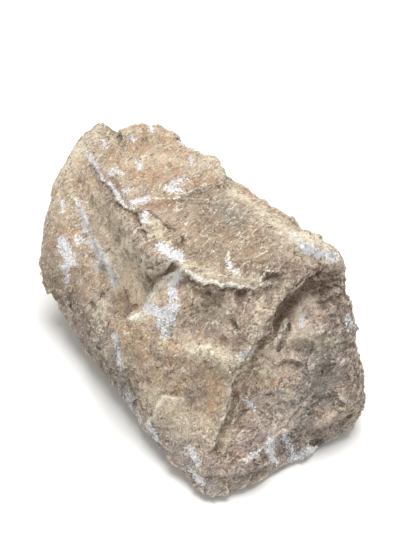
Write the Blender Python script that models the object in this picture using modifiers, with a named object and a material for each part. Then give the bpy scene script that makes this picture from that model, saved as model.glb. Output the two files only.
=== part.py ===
"""A rough block of honeycomb calcite, modelled as one solid stone that rests on its broad underside.

Metres, +Z up.  +X runs along the stone to its larger end, and -Y is the long broken front.  The origin is in the
middle of the footprint, on the ground.

The stone is built as it breaks: five convex blocks are fused, their surface is worked with hollows, swells, ledges
and chips, the underside is cut flat, and the whole is brought to its overall size.  Corners, paths and hollows are
in millimetres, in a drawing frame whose ground is at GROUND and whose middle lies within a few millimetres of the
finished stone's.
"""

import bpy
import bmesh
from mathutils import Matrix, Vector, noise

MM = 0.001

# Overall size of the finished stone
LENGTH = 495.0
WIDTH = 263.0
HEIGHT = 262.5

# Height of the flat underside in the drawing frame
GROUND = -8.0

# Picks the pattern of chips and rolls
SEED = 7

# Edge of the small faces that are worked, and how many triangles are kept at the end
WORKING_FACE = 3.2
TRIANGLES = 9400

# Each block is the convex hull of its corners: a core, and four beds that stand proud of it and end in ledges
BLOCKS = {
    "core": {
        "foot": [(223, -111, 0), (231, -99, 0), (238, -53, 0), (237, 5, 2), (242, 35, 3), (248, 72, 2),
                 (222, 118, 2), (-130, 128, 4), (-190, 40, 6), (-140, -93, 2), (-60, -117, 0), (120, -118, 0)],
        "underside": [(200, -86, -26), (214, -53, -26), (216, 35, -26), (204, 98, -26), (-118, 104, -26),
                      (-165, 36, -26), (-120, -70, -26), (-50, -92, -26)],
        "near_end": [(250, 77, 15), (250, 82, 33), (246, 84, 55), (237, 88, 78), (218, 93, 118), (201, 95, 158),
                     (186, 97, 180), (169, 100, 198)],
        "under_ledge": [(172, 53, 175), (166, 42, 172), (164, 17, 155), (170, -8, 135), (181, -36, 112),
                        (186, -52, 90), (191, -75, 65), (226, -75, 18), (234, -20, 22)],
        "far_end": [(-150, -133, 45), (-167, -131, 70), (-184, -119, 92), (-203, -102, 125), (-209, -80, 150),
                    (-223, -58, 172), (-237, -36, 190), (-240, -14, 205), (-233, 0, 218), (-228, 11, 226),
                    (-206, 20, 222)],
        "flank": [(-173, -55, 146), (-143, -60, 136), (-90, -68, 122), (5, -82, 104), (32, -86, 102)],
        "front": [(-132, -122, 25), (-102, -117, 12), (55, -126, 10), (61, -125, 60)],
        "back": [(-160, 58, 222), (130, 84, 213), (-170, 100, 100), (198, 126, 60)],
    },
    "flank": {
        "edge": [(-173, -59, 154), (-143, -65, 145), (-112, -73, 138), (-90, -74, 132), (-50, -77, 122),
                 (-29, -80, 118), (5, -90, 115), (32, -94, 115)],
        "foot_of_bed": [(-205, -34, 190), (-170, -40, 186), (-130, -45, 182), (-84, -51, 178), (-40, -56, 173),
                        (-9, -59, 169), (34, -60, 161)],
        "under_front": [(52, -60, 160), (52, -90, 118)],
        "inside": [(-150, 20, 120), (30, 0, 100)],
    },
    "bed": {
        "ridge": [(143, 64, 239), (151, 72, 236), (155, 84, 230), (160, 89, 222), (171, 97, 205), (134, 61, 235),
                  (104, 62, 237), (87, 62, 238), (67, 60, 240), (57, 56, 236), (36, 57, 238), (21, 57, 240)],
        "far": [(-181, 13, 228), (-168, 21, 234), (-94, 60, 245)],
        "left_lip": [(-186, -22, 203), (-142, -33, 198), (-61, -38, 198), (-46, -41, 198), (-21, -43, 198),
                     (22, -60, 197), (33, -49, 199), (59, -43, 200)],
        "front_lip": [(88, -48, 193), (114, -33, 197), (132, -20, 197), (143, -8, 197), (153, 23, 213),
                      (173, 36, 207)],
        "left_foot": [(-198, -33, 189), (-130, -43, 181), (-84, -49, 177), (-40, -54, 172), (16, -60, 168),
                      (38, -60, 165), (52, -57, 170)],
        "inside": [(-150, 10, 150), (20, -10, 150), (150, 40, 150), (160, 85, 160)],
    },
    "plate": {
        "ridge": [(12, 61, 246), (1, 62, 251), (-19, 68, 253), (-57, 65, 253), (-94, 60, 253), (-132, 53, 251),
                  (-165, 45, 248), (-168, 21, 241), (-181, 13, 233)],
        "lip": [(-186, 12, 232), (-190, -24, 207), (-142, -35, 203), (-61, -40, 204), (-46, -41, 206)],
        "step": [(-33, -24, 210), (-12, 6, 222), (10, 40, 236)],
        "inside": [(-60, 20, 180), (-150, 20, 180)],
    },
    "front": {
        "top": [(59, -45, 185), (88, -48, 190), (114, -33, 194), (132, -20, 194), (143, -8, 194)],
        "left_edge": [(45, -103, 130), (55, -94, 138), (54, -86, 145), (48, -76, 160), (49, -60, 175)],
        "right_lip": [(173, 36, 204), (173, 18, 195), (175, -8, 180), (182, -28, 160), (186, -39, 147),
                      (183, -49, 135), (184, -62, 118), (190, -78, 90), (194, -92, 62), (199, -105, 30),
                      (221, -112, 0)],
        "foot": [(20, -118, 100), (38, -125, 85), (61, -130, 65), (84, -134, 45), (119, -129, 30), (146, -126, 20),
                 (203, -119, 5), (167, -120, 5), (137, -127, 5), (95, -130, 8), (55, -130, 10)],
        "inside": [(80, 0, 60), (120, 20, 120)],
    },
}

# Round hollows where pieces have come away: centre, radius and depth
HOLLOWS = {
    "under_brow": ((168, 66, 193), 34, 13),
    "lip_hollow": ((153, 13, 198), 15, 9),
    "front_face": ((119, -45, 167), 34, 13),
    "front_pit": ((154, -38, 166), 12, 3),
    "end_bowl": ((220, 44, 91), 38, 8),
    "end_lower": ((224, -18, 52), 24, 4),
    "flank_dark": ((-4, -54, 176), 30, 3),
    "cream_corner": ((40, -38, 206), 20, 4),
    "far_low": ((-105, -112, 60), 45, 6),
    "back_high": ((-40, 95, 170), 70, 9),
    "back_low": ((110, 120, 70), 60, 8),
    "far_end": ((-215, 20, 120), 60, 8),
    "top_saddle": ((62, 30, 228), 40, 4),
}

# Round swells between them: centre, radius and height
SWELLS = {
    "front_shelf": ((140, -68, 136), 26, 5),
    "end_shoulder": ((196, 50, 140), 24, 5),
    "end_ridge": ((216, -2, 78), 26, 5),
    "end_foot": ((226, -60, 34), 26, 4),
    "fin": ((180, 14, 146), 11, 6),
    "brow": ((150, 66, 236), 22, 4),
    "flank_mid": ((-90, -58, 152), 40, 3),
    "back_mid": ((20, 110, 110), 60, 6),
    "top_ridge": ((18, 62, 244), 42, 6),
    "far_tip": ((-232, 4, 226), 30, 4),
    "brow_tip": ((168, 92, 208), 24, 2),
}

# Ledges: the surface is lower on the low side of the path, and comes back over the reach
LEDGES = {
    "front_lip": {"path": [(59, -48, 184), (75, -48, 187), (88, -50, 189), (101, -43, 191), (114, -36, 193)],
                  "low": (0.3, -1, -0.7), "drop": 8.0, "reach": 36},
    "lip_bite": {"path": [(114, -36, 193), (128, -27, 193), (136, -12, 195), (148, 6, 197)],
                 "low": (0.8, -1, -0.9), "drop": 6.0, "reach": 24},
    "big_riser": {"path": [(173, 36, 196), (170, 18, 184), (172, -4, 168), (178, -26, 148), (184, -44, 130),
                           (188, -60, 108), (195, -76, 84), (201, -88, 62), (206, -98, 40)],
                  "low": (1, 0.5, -0.1), "drop": 7.0, "reach": 32},
    "streak_step": {"path": [(-178, -55, 156), (-142, -64, 147), (-115, -69, 140), (-89, -73, 134), (-64, -76, 130)],
                    "low": (0, -1, -1), "drop": 4.0, "reach": 30},
    "dark_band": {"path": [(-40, -92, 112), (0, -98, 104), (34, -103, 96), (56, -114, 76), (80, -126, 52)],
                  "low": (-0.3, -0.5, -1), "drop": 3.0, "reach": 45},
    "cream_edge": {"path": [(30, -92, 132), (46, -90, 140), (52, -84, 150), (48, -72, 165), (52, -58, 176)],
                   "low": (-1, 0, 0.4), "drop": 3.0, "reach": 22},
    "plate_step": {"path": [(23, 56, 240), (10, 40, 235), (3, 23, 229), (-12, 5, 222), (-33, -25, 212)],
                   "low": (1, -0.3, -0.4), "drop": 2.5, "reach": 45},
    "front_shelf": {"path": [(114, -84, 122), (125, -72, 135), (137, -61, 144), (155, -53, 146), (174, -46, 144)],
                    "low": (0, 0.3, 1), "drop": 4.0, "reach": 40},
    "front_flake": {"path": [(110, -130, 30), (115, -126, 43), (117, -115, 64), (122, -107, 77), (143, -98, 81),
                             (158, -90, 87)],
                    "low": (1, 0, -1), "drop": 3.0, "reach": 45},
    "end_upper": {"path": [(166, 55, 184), (173, 67, 183), (177, 85, 185), (187, 95, 177)],
                  "low": (0, 0, 1), "drop": 5.0, "reach": 16},
    "end_second": {"path": [(173, 45, 172), (178, 60, 175), (183, 77, 175), (193, 91, 167)],
                   "low": (0.3, 0, -1), "drop": 3.5, "reach": 20},
    "end_shoulder": {"path": [(190, 25, 140), (196, 46, 138), (204, 61, 132), (212, 79, 125), (218, 92, 118)],
                     "low": (0.2, 0, -1), "drop": 5.0, "reach": 45},
    "end_corner": {"path": [(187, 91, 176), (199, 82, 154), (212, 79, 127), (223, 81, 103), (234, 81, 80)],
                   "low": (0, 1, 0), "drop": 5.0, "reach": 30},
    "end_fin": {"path": [(173, 27, 160), (178, 15, 149), (184, 1, 134)],
                "low": (0, 1, 0.2), "drop": 7.0, "reach": 14},
    "end_lower": {"path": [(196, -33, 93), (209, -18, 79), (219, 10, 75), (225, 32, 73)],
                  "low": (0, 0, -1), "drop": 4.0, "reach": 35},
    "foot_edge": {"path": [(216, -91, 22), (224, -69, 22), (230, -45, 22), (231, -29, 31),
                           (233, -4, 46), (242, 32, 38), (247, 70, 36)],
                  "low": (0.1, 0, -1), "drop": 5.0, "reach": 60},
    "far_crease": {"path": [(-160, -131, 68), (-125, -117, 91), (-94, -100, 111), (-65, -85, 124), (-27, -83, 127)],
                   "low": (0, 0, -1), "drop": 3.0, "reach": 60},
    "back_step": {"path": [(-180, 80, 150), (-90, 98, 140), (0, 108, 120), (90, 112, 130), (130, 116, 118)],
                  "low": (0, 0, -1), "drop": 7.0, "reach": 50},
    "back_rib": {"path": [(-20, 80, 215), (-35, 100, 150), (-10, 118, 70), (-25, 126, 10)],
                 "low": (1, 0, 0), "drop": 6.0, "reach": 60},
}

# The break runs smooth along the beds and hackly across them.  The beds climb from front to back.
ALONG_BEDS = Vector((0.10, 0.91, 0.40)).normalized()
ACROSS_BEDS = Vector((0.0, -0.37, 0.93)).normalized()
CHIP_STRETCH = 1.7
SMOOTHEST = 0.35
FULLY_HACKLY = 0.6

# Shallow chips, coarse then fine
CHIPS = [
    {"size": 74, "lean": 0.14, "step": 2.8, "bowl": 0.10, "seed": 3.1},
    {"size": 33, "lean": 0.26, "step": 2.4, "bowl": 0.20, "seed": 8.4},
]
CHIP_DEPTH = 1.5

# Rolling unevenness, broad then fine
ROLLS = [
    {"length": 95, "height": 4.8, "seed": 5.7},
    {"length": 13, "height": 0.6, "seed": 2.9},
]

# Ledges wander off their paths by this much, over this length, and fall over this width
LEDGE_WANDER = 4.0
WANDER_LENGTH = 12.0
LEDGE_FALL = 5.0


def clear_scene():
    for old in list(bpy.data.objects):
        bpy.data.objects.remove(old)


def new_collection(name):
    group = bpy.data.collections.new(name)
    bpy.context.scene.collection.children.link(group)
    return group


def hull_block(name, runs, group):
    """One block: the convex hull of all its corners."""
    bm = bmesh.new()
    for run in runs.values():
        for corner in run:
            bm.verts.new(Vector(corner) * MM)
    bmesh.ops.convex_hull(bm, input=bm.verts)
    bmesh.ops.delete(bm, geom=[v for v in bm.verts if not v.link_faces], context="VERTS")
    bmesh.ops.recalc_face_normals(bm, faces=bm.faces)
    mesh = bpy.data.meshes.new(name)
    bm.to_mesh(mesh)
    bm.free()
    block = bpy.data.objects.new(name, mesh)
    group.objects.link(block)
    return block


def apply_modifiers(obj):
    graph = bpy.context.evaluated_depsgraph_get()
    finished = bpy.data.meshes.new_from_object(obj.evaluated_get(graph), depsgraph=graph)
    obj.modifiers.clear()
    rough = obj.data
    obj.data = finished
    bpy.data.meshes.remove(rough)


def fuse(stone, others):
    """Joins the other blocks to the first, and covers the whole with small even faces."""
    for other in others:
        union = stone.modifiers.new("join_" + other.name, "BOOLEAN")
        union.operation = "UNION"
        union.object = other
    remesh = stone.modifiers.new("even_faces", "REMESH")
    remesh.mode = "VOXEL"
    remesh.voxel_size = WORKING_FACE * MM
    apply_modifiers(stone)
    for other in others:
        bpy.data.objects.remove(other)


def ease(value):
    """0 below 0, 1 above 1, and a smooth rise between them."""
    value = min(max(value, 0.0), 1.0)
    return value * value * (3 - 2 * value)


def nearest_on_path(point, path):
    """The closest point of a path of straight runs."""
    found = []
    for start, end in zip(path, path[1:]):
        run = Vector(end) - Vector(start)
        share = (point - Vector(start)).dot(run) / run.length_squared
        found.append(Vector(start) + run * min(max(share, 0.0), 1.0))
    return min(found, key=lambda place: (point - place).length)


def chip_height(point, chip):
    """Shallow bowls that each lean their own way and meet in sharp ridges."""
    along = ALONG_BEDS * point.dot(ALONG_BEDS)
    seed = Vector((1, 2, 3)) * chip["seed"]
    place = (point - along * (1 - 1 / CHIP_STRETCH)) / chip["size"] + seed
    place += noise.noise_vector(place * 1.7) * 0.3
    heights = []
    for centre in noise.voronoi(place)[1]:
        away = place - centre
        lean = noise.noise_vector(centre * 7.3) * chip["lean"]
        rise = noise.noise(centre * 5.1) * chip["step"]
        heights.append((lean.dot(away) + chip["bowl"] * away.length_squared) * chip["size"] + rise)
    return min(heights)


def roll_height(point, roll):
    return noise.noise(point / roll["length"] + Vector((roll["seed"], 0, 0))) * roll["height"]


def mound_height(point, mounds):
    """Round hollows or swells, each a centre, a radius and a height at the middle."""
    total = 0.0
    for centre, radius, height in mounds.values():
        away = (point - Vector(centre)).length / radius
        total += height * max(1 - away * away, 0.0) ** 2
    return total


def ledge_drop(point, ledge):
    nearest = nearest_on_path(point, ledge["path"])
    away = (point - nearest).length
    wander = noise.noise(point / WANDER_LENGTH) * LEDGE_WANDER
    side = (point - nearest).dot(Vector(ledge["low"]).normalized()) + wander
    return ledge["drop"] * ease(side / LEDGE_FALL + 0.5) * ease(1 - away / ledge["reach"])


def surface_height(point, normal):
    """How far the worked surface stands out from the plain blocks."""
    hackly = ease((1 - abs(normal.dot(ACROSS_BEDS))) / FULLY_HACKLY)
    chips = sum(chip_height(point, chip) for chip in CHIPS) - CHIP_DEPTH
    height = chips * (SMOOTHEST + (1 - SMOOTHEST) * hackly)
    height += sum(roll_height(point, roll) for roll in ROLLS)
    height += mound_height(point, SWELLS) - mound_height(point, HOLLOWS)
    return height - sum(ledge_drop(point, ledge) for ledge in LEDGES.values())


def soften(bm, rounds):
    for _ in range(rounds):
        bmesh.ops.smooth_vert(bm, verts=bm.verts, factor=0.5, use_axis_x=True, use_axis_y=True, use_axis_z=True)


def work_surface(bm):
    soften(bm, 2)
    bm.normal_update()
    moves = [vert.normal * surface_height(vert.co / MM, vert.normal) * MM for vert in bm.verts]
    for vert, move in zip(bm.verts, moves):
        vert.co += move
    soften(bm, 1)


def cut_underside(bm):
    bmesh.ops.bisect_plane(bm, geom=bm.verts[:] + bm.edges[:] + bm.faces[:], dist=1e-6,
                           plane_co=(0, 0, GROUND * MM), plane_no=(0, 0, 1), clear_inner=True)
    bmesh.ops.holes_fill(bm, edges=[edge for edge in bm.edges if edge.is_boundary], sides=0)
    bmesh.ops.triangulate(bm, faces=bm.faces)
    bmesh.ops.recalc_face_normals(bm, faces=bm.faces)


def fit_to_size(bm):
    """Brings the stone to its overall size, with the origin on the ground under its middle."""
    low = Vector([min(vert.co[axis] for vert in bm.verts) for axis in range(3)])
    high = Vector([max(vert.co[axis] for vert in bm.verts) for axis in range(3)])
    middle = Vector(((low.x + high.x) / 2, (low.y + high.y) / 2, low.z))
    size = Vector((LENGTH, WIDTH, HEIGHT)) * MM
    stretch = [size[axis] / (high - low)[axis] for axis in range(3)]
    print("middle, mm:", tuple(round(value / MM, 2) for value in middle), "stretch:", stretch)
    bmesh.ops.transform(bm, matrix=Matrix.Diagonal((*stretch, 1)) @ Matrix.Translation(-middle), verts=bm.verts)


def edit(obj, *steps):
    """Carries out steps on the object's mesh."""
    bm = bmesh.new()
    bm.from_mesh(obj.data)
    for step in steps:
        step(bm)
    bm.to_mesh(obj.data)
    bm.free()


def thin_out(stone):
    """Keeps faces where the surface bends, and merges them where it is flat."""
    quads = len(stone.data.polygons)
    decimate = stone.modifiers.new("thin_out", "DECIMATE")
    decimate.ratio = TRIANGLES / (2 * quads)
    apply_modifiers(stone)


def calcite():
    material = bpy.data.materials.new("weathered_calcite")
    material.use_nodes = True
    shader = material.node_tree.nodes["Principled BSDF"]
    shader.inputs["Base Color"].default_value = (0.52, 0.39, 0.27, 1)
    shader.inputs["Roughness"].default_value = 0.85
    return material


def build_stone():
    noise.seed_set(SEED)
    group = new_collection("honeycomb_calcite")
    stone, *others = [hull_block(name, runs, group) for name, runs in BLOCKS.items()]
    stone.name = "calcite_stone"
    fuse(stone, others)
    edit(stone, work_surface)
    thin_out(stone)
    edit(stone, cut_underside, fit_to_size)
    stone.data.name = stone.name
    stone.data.materials.append(calcite())


clear_scene()
build_stone()
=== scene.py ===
from math import cos, inf, radians, sin

import bmesh
import bpy
import numpy as np
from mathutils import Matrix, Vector, noise
from mathutils.bvhtree import BVHTree


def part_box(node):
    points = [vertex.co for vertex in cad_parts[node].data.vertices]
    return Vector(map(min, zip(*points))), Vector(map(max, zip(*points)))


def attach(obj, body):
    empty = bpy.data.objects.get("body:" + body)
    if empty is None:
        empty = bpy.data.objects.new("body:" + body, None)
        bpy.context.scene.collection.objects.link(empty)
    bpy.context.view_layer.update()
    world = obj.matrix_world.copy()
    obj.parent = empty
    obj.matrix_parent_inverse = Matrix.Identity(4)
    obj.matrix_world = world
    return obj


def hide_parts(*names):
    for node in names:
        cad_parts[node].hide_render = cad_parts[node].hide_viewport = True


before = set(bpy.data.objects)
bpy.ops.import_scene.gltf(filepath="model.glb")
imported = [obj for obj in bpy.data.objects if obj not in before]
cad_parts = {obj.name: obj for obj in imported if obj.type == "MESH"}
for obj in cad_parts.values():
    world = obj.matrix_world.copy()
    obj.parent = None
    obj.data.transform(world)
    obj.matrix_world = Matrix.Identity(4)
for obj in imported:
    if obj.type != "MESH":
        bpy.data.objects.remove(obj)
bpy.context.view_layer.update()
mm = 0.001
noise.seed_set(5)

# The main view.  Places named further down are in this view's own units: across and down a 416 by 555 frame.
mainView = {
    "azimuth": 55, "elevation": 40, "distance": 0.915, "target": (0.0052, 0.0358, 0.108),
    "width": 416, "height": 555, "focal": 700, "sensor": 36,
    "middleOfStone": (205, 310), "searchSteps": 12, "searchShare": 0.04,
}

azimuth, elevation = radians(mainView["azimuth"]), radians(mainView["elevation"])
viewAhead = Vector((-sin(azimuth) * cos(elevation), cos(azimuth) * cos(elevation), -sin(elevation)))
viewRight = Vector((cos(azimuth), sin(azimuth), 0))
viewUp = viewRight.cross(viewAhead)
viewEye = Vector(mainView["target"]) - viewAhead * mainView["distance"]


def addCamera():
    data = bpy.data.cameras.new("mainCamera")
    data.sensor_fit = "VERTICAL"
    data.sensor_height = mainView["sensor"]
    data.lens = mainView["sensor"] * mainView["focal"] / mainView["height"]
    camera = bpy.data.objects.new("mainCamera", data)
    camera.location = viewEye
    camera.rotation_euler = viewAhead.to_track_quat("-Z", "Y").to_euler()
    bpy.context.scene.collection.objects.link(camera)
    bpy.context.scene.camera = camera


addCamera()
print("camera placed")


# Rises smoothly from 0 to 1
def ease(value):
    value = np.clip(value, 0.0, 1.0)
    return value * value * (3 - 2 * value)


# Where points of the stone are seen in the main view, and how far from the eye
def toView(points):
    out = points - np.array(viewEye)
    depth = out @ np.array(viewAhead)
    across = mainView["width"] / 2 + mainView["focal"] * (out @ np.array(viewRight)) / depth
    down = mainView["height"] / 2 - mainView["focal"] * (out @ np.array(viewUp)) / depth
    return np.stack([across, down], -1), depth


# How deep the stone lies behind a spot of the view.  A spot just off the stone moves towards its middle.
def depthBehind(tree, spot):
    x, y = spot
    for _ in range(mainView["searchSteps"]):
        ray = (viewAhead + viewRight * ((x - mainView["width"] / 2) / mainView["focal"])
               - viewUp * ((y - mainView["height"] / 2) / mainView["focal"]))
        hit = tree.ray_cast(viewEye, ray.normalized())[0]
        if hit is not None:
            return (hit - viewEye).dot(viewAhead)
        x += (mainView["middleOfStone"][0] - x) * mainView["searchShare"]
        y += (mainView["middleOfStone"][1] - y) * mainView["searchShare"]
    raise ValueError("no stone behind " + str(spot))


# A path counts only for what lies about as deep as it does: the depth in metres beside it, and for each unit
# further off.  The corner share settles which stretch of a path a point beside its corner goes with.
pathRules = {"depthRoom": 0.025, "depthRoomPerUnit": 0.004, "cornerShare": 0.001}


# For each point: its distance from a path across the view, less than 0 on the left hand, the share of the way
# along, and 0 where the point lies on another side of the stone than the path does
def besidePath(view, depth, tree, path):
    nearest = np.full(len(view), inf)
    side = np.ones(len(view))
    along = np.zeros(len(view))
    pathDepth = np.zeros(len(view))
    depths = [depthBehind(tree, spot) for spot in path]
    lengths = [np.hypot(b[0] - a[0], b[1] - a[1]) for a, b in zip(path, path[1:])]
    covered = 0.0
    for start, end, nearDepth, farDepth, length in zip(path, path[1:], depths, depths[1:], lengths):
        step = np.array(end, float) - start
        away = view - start
        share = np.clip(away @ step / length ** 2, 0, 1)
        gap = np.hypot(*(away - share[:, None] * step).T)
        across = (step[0] * away[:, 1] - step[1] * away[:, 0]) / length
        gap = gap - pathRules["cornerShare"] * np.abs(across)
        closer = gap < nearest
        nearest = np.where(closer, gap, nearest)
        side = np.where(closer, np.sign(across), side)
        along = np.where(closer, (covered + share * length) / sum(lengths), along)
        pathDepth = np.where(closer, nearDepth + share * (farDepth - nearDepth), pathDepth)
        covered += length
    room = pathRules["depthRoom"] + pathRules["depthRoomPerUnit"] * nearest
    sameSide = ease(2 - np.abs(depth - pathDepth) / room)
    return np.maximum(nearest, 0) * side, along, sameSide


def coordinates(mesh):
    flat = np.empty(len(mesh.vertices) * 3)
    mesh.vertices.foreach_get("co", flat)
    return flat.reshape(-1, 3)


def normals(mesh):
    flat = np.empty(len(mesh.vertices) * 3)
    mesh.vertex_normals.foreach_get("vector", flat)
    return flat.reshape(-1, 3)


# Sizes in millimetres.  The stone is worked with coarse faces, then fine ones, then thinned out.
stoneShape = {
    "weld": 0.01, "coarseFace": 2.2, "softenRounds": 7, "softenFactor": 0.5, "fineFace": 1.6,
    "triangles": 190000, "flatBase": 1, "baseBlend": 8, "sharpAngle": 30,
}


# Moves the surface out or in, never outside the box, and not at all at the flat base
def moveAlongNormals(mesh, heights, box):
    points = coordinates(mesh)
    outward = normals(mesh)
    toSide = np.where(outward > 0, np.array(box[1]) - points, points - np.array(box[0]))
    neverNought = 1e-6
    room = (np.maximum(toSide, 0) / np.maximum(np.abs(outward), neverNought)).min(1)
    moves = np.minimum(heights * mm * ease(points[:, 2] / (stoneShape["baseBlend"] * mm)), room)
    mesh.vertices.foreach_set("co", (points + outward * moves[:, None]).ravel())
    mesh.update()


def surfaceTree(mesh):
    bm = bmesh.new()
    bm.from_mesh(mesh)
    tree = BVHTree.FromBMesh(bm)
    bm.free()
    return tree


def applyModifiers(piece):
    graph = bpy.context.evaluated_depsgraph_get()
    finished = bpy.data.meshes.new_from_object(piece.evaluated_get(graph), depsgraph=graph)
    piece.modifiers.clear()
    rough = piece.data
    piece.data = finished
    bpy.data.meshes.remove(rough)


def evenFaces(piece, size):
    remesh = piece.modifiers.new("evenFaces", "REMESH")
    remesh.mode = "VOXEL"
    remesh.voxel_size = size * mm
    applyModifiers(piece)


def soften(mesh, rounds):
    bm = bmesh.new()
    bm.from_mesh(mesh)
    free = [vert for vert in bm.verts if vert.co.z > stoneShape["flatBase"] * mm]
    for _ in range(rounds):
        bmesh.ops.smooth_vert(bm, verts=free, factor=stoneShape["softenFactor"],
                              use_axis_x=True, use_axis_y=True, use_axis_z=True)
    bm.to_mesh(mesh)
    bm.free()


# Broken edges across the view: drop and lip in millimetres, fall and reach in view units.  The right-hand
# side of each path is the low one, or the high one where the drop is below nought.
# Shade is how dark the painted shade line under the ledge is.
ledges = {
    "frontLip": {"drop": 2, "fall": 1.2, "reach": 34, "lip": 1.6, "shade": 1.0, "path": [
        (186, 272), (193, 280), (205, 284), (213, 283), (218, 287), (224, 290), (228, 286), (238, 289),
        (248, 289), (254, 292)]},
    "creamEdge": {"drop": 4, "fall": 1.5, "reach": 12, "lip": 1.8, "shade": 0.2, "path": [
        (183, 269), (173, 273), (165, 277), (158, 283), (152, 290), (150, 298), (147, 306), (140, 313),
        (131, 319)]},
    "riserTop": {"drop": 4.5, "fall": 3.0, "reach": 32, "lip": 1.6, "shade": 0.25, "path": [
        (213, 446), (219, 430), (226, 417), (231, 400), (231, 386), (234, 375), (240, 366), (249, 362),
        (254, 345), (258, 331), (263, 321), (276, 308), (284, 296), (296, 277)]},
    "riserFoot": {"drop": 5, "fall": 2, "reach": 14, "lip": 1.2, "shade": 0.0, "path": [
        (205, 462), (213, 446), (219, 430), (226, 417), (231, 400), (231, 386), (234, 375), (240, 366),
        (249, 362), (256, 346), (261, 333)]},
    "plateLip": {"drop": 2.5, "fall": 1.2, "reach": 14, "lip": 1.6, "shade": 0.8, "path": [
        (89, 155), (94, 165), (100, 176), (106, 181), (113, 189), (118, 197), (126, 207), (137, 215),
        (144, 228), (150, 240), (156, 248)]},
    "plateStep": {"drop": 1.0, "fall": 2, "reach": 16, "lip": 0.6, "shade": 0.4, "path": [
        (134, 208), (150, 199), (162, 203), (175, 200), (183, 195), (196, 190), (210, 184), (226, 186)]},
    "streakRidge": {"drop": 0.6, "fall": 3, "reach": 20, "lip": 0.6, "shade": 0.1, "path": [
        (75, 198), (82, 210), (86, 222), (90, 236), (93, 244), (97, 254), (105, 261), (110, 273), (115, 288),
        (119, 300), (126, 312)]},
    "lowerStreak": {"drop": 2.0, "fall": 3, "reach": 16, "lip": 1.0, "shade": 0.2, "path": [
        (112, 322), (115, 337), (118, 357), (124, 375), (127, 392), (136, 404)]},
    "frontShelf": {"drop": -3, "fall": 4, "reach": 18, "lip": 0, "shade": 0.0, "path": [
        (186, 349), (194, 352), (201, 346), (210, 346), (219, 354), (230, 360), (240, 364)]},
    "lowerFlake": {"drop": -2.4, "fall": 3, "reach": 16, "lip": 0, "shade": 0.0, "path": [
        (146, 424), (154, 417), (158, 408), (163, 397), (171, 398), (183, 399)]},
    "upperEnd": {"drop": 3, "fall": 3, "reach": 16, "lip": 1, "shade": 0.7, "path": [
        (306, 294), (318, 288), (330, 285), (343, 283)]},
    "secondEnd": {"drop": 3.5, "fall": 3, "reach": 16, "lip": 1.2, "shade": 0.7, "path": [
        (315, 303), (325, 299), (335, 293), (347, 294)]},
    "endShoulder": {"drop": 3, "fall": 4, "reach": 20, "lip": 1, "shade": 0.5, "path": [
        (298, 338), (310, 341), (322, 344), (334, 345), (346, 340)]},
    "endLower": {"drop": 3, "fall": 4, "reach": 20, "lip": 1, "shade": 0.5, "path": [
        (262, 372), (274, 366), (286, 360), (298, 364), (308, 368)]},
    "endFoot": {"drop": 4, "fall": 5, "reach": 22, "lip": 1, "shade": 0.5, "path": [
        (268, 447), (276, 441), (285, 433), (298, 437), (312, 431), (326, 424)]},
}

# Hollows where pieces broke out: depth in millimetres, half width in view units
hollows = {
    "farShoulder": {"depth": 10, "radius": 26, "path": [(240, 186), (262, 196), (292, 212)]},
    "farLobe": {"depth": 4, "radius": 13, "path": [(66, 158), (82, 134), (96, 118)]},
    "crownNotch": {"depth": 6, "radius": 5, "path": [(115, 128), (118, 140)]},
    "lipPocket": {"depth": 4, "radius": 7, "path": [(267, 277), (277, 276)]},
    "lowerPocket": {"depth": 3.5, "radius": 8, "path": [(258, 301), (268, 303)]},
    "facePocket": {"depth": 2.5, "radius": 5, "path": [(233, 322), (237, 328)]},
    "crack": {"depth": 3.5, "radius": 1.2, "path": [
        (151, 211), (156, 217), (162, 222), (169, 227), (176, 231)]},
    "crackPit": {"depth": 6, "radius": 2.2, "path": [(182, 237), (182, 243)]},
    "stainHole": {"depth": 6, "radius": 3.4, "path": [(316, 272), (318, 272)]},
    "finGap": {"depth": 5, "radius": 3, "path": [(289, 325), (287, 333), (283, 341), (279, 350)]},
    "notch": {"depth": 2.5, "radius": 4, "path": [(284, 364), (291, 364)]},
    "footNotch": {"depth": 6, "radius": 5, "path": [(314, 446), (321, 443)]},
    "pitA": {"depth": 3, "radius": 1.8, "path": [(102, 295), (103, 297)]},
    "pitB": {"depth": 3, "radius": 1.8, "path": [(92, 303), (93, 305)]},
    "pitC": {"depth": 3, "radius": 2, "path": [(130, 405), (131, 407)]},
    "pitD": {"depth": 3, "radius": 2.4, "path": [(157, 436), (166, 443)]},
    "pitE": {"depth": 2.5, "radius": 1.8, "path": [(169, 352), (170, 354)]},
}

# Places that stand proud: height in millimetres, half width in view units
swells = {
    "slabFoot": {"height": 6, "radius": 12, "path": [
        (312, 300), (299, 311), (292, 322), (286, 334), (276, 350)]},
    "browFace": {"height": 5, "radius": 16, "path": [(314, 272), (334, 284)]},
    "underLip": {"height": 7, "radius": 17, "path": [(202, 295), (226, 301)]},
    "plateRiserFill": {"height": 6, "radius": 16, "path": [(100, 190), (122, 222), (136, 244)]},
    "bedRiserFill": {"height": 9, "radius": 17, "path": [(138, 248), (150, 264), (162, 276)]},
    "triangleFill": {"height": 4, "radius": 14, "path": [(154, 258), (166, 266), (176, 271)]},
    "plateCrown": {"height": 6.5, "radius": 17, "path": [(132, 136), (146, 128), (164, 134)]},
    "fin": {"height": 4, "radius": 3, "path": [(285, 320), (281, 331), (275, 344)]},
    "brow": {"height": 3, "radius": 12, "path": [(306, 246), (326, 252)]},
}


# How the edges wander off their paths, and how their ends, lips and borders fade, in view units and shares
carving = {
    "strays": [{"size": 8, "amount": 2.2, "seed": 1.5}, {"size": 3.2, "amount": 1.3, "seed": 7.5}],
    "endShare": 0.12, "fadeShare": 0.7, "lipWidth": 4, "lipReach": 8, "lipOverhang": 3,
    "moundStray": 0.3, "moundPower": 1.5, "facing": 2.5,
}


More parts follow.
